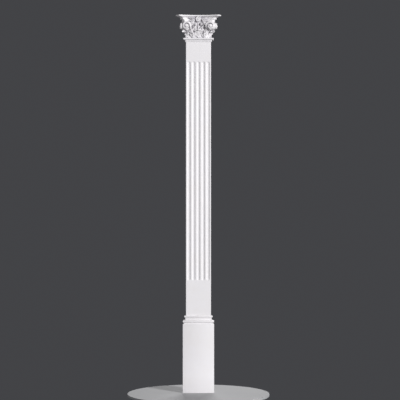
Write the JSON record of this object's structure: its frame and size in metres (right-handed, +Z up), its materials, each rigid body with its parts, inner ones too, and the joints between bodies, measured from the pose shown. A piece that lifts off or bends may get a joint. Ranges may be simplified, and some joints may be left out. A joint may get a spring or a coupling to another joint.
{
  "type": "wall pilaster",
  "caption": "Tall flat half-column for a wall: plain base block, fluted shaft and a leafy Corinthian capital with volutes.",
  "frame": {"origin": "middle of the shaft's flat back, on the wall", "axes": "+Z up along the pilaster, +Y into the wall, +X to the right along the wall as seen from the room"},
  "size_m": [0.268, 0.075, 2.2446],
  "materials": {
    "base_plaster": "white primed polyurethane foam casting, matt",
    "shaft_plaster": "white primed polyurethane foam casting, matt",
    "capital_plaster": "white primed polyurethane foam casting, matt"
  },
  "bodies": {
    "root": {"base": "base_plaster", "shaft": "shaft_plaster", "capital": "capital_plaster"}
  },
  "joints": []
}
